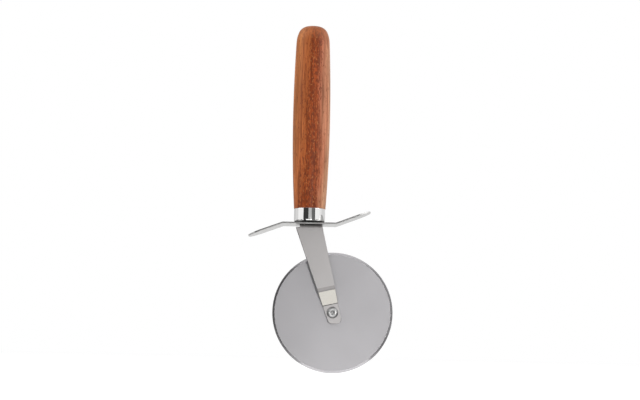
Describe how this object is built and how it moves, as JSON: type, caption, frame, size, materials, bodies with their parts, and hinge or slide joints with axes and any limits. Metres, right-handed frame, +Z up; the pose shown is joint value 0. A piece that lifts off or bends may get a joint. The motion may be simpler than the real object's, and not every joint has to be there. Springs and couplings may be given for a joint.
{
  "type": "pizza cutter wheel",
  "caption": "Pizza cutter: turned wooden handle with a bright ferrule, bent finger guard and a slanted, joggled fork that carries a free-turning cutting wheel.",
  "frame": {"origin": "on the handle's axis at the middle of the grip, where the handle is thickest", "axes": "+Z up the handle to its butt, +X to the right towards the side that the fork slants to, -Y out of the front, where the rivet's rolled end is"},
  "size_m": [0.0911, 0.0234, 0.2188],
  "materials": {
    "handle_wood": "oiled reddish hardwood with dark pores along the grain",
    "ferrule_plate": "bright polished",
    "guard_steel": "tumbled, bright",
    "fork_steel": "fine satin",
    "wheel_steel": "fine satin, ground edge",
    "rivet_steel": "bright",
    "hardware_steel": "zinc plated"
  },
  "bodies": {
    "handle_frame": {"handle": "handle_wood", "ferrule": "ferrule_plate", "finger_guard": "guard_steel", "fork": "fork_steel", "tang_screw": "hardware_steel", "screw_washer": "hardware_steel", "axle_rivet": "rivet_steel", "hub_bush": "hardware_steel", "front_spacer": "hardware_steel", "rear_spacer": "hardware_steel"},
    "wheel": {"blade_wheel": "wheel_steel"}
  },
  "joints": [
    {"name": "wheel_spin", "type": "hinge", "parent": "handle_frame", "child": "wheel", "pos_m": [0.0155, 0, -0.12175], "axis": [0, -1, 0], "continuous": true}
  ]
}
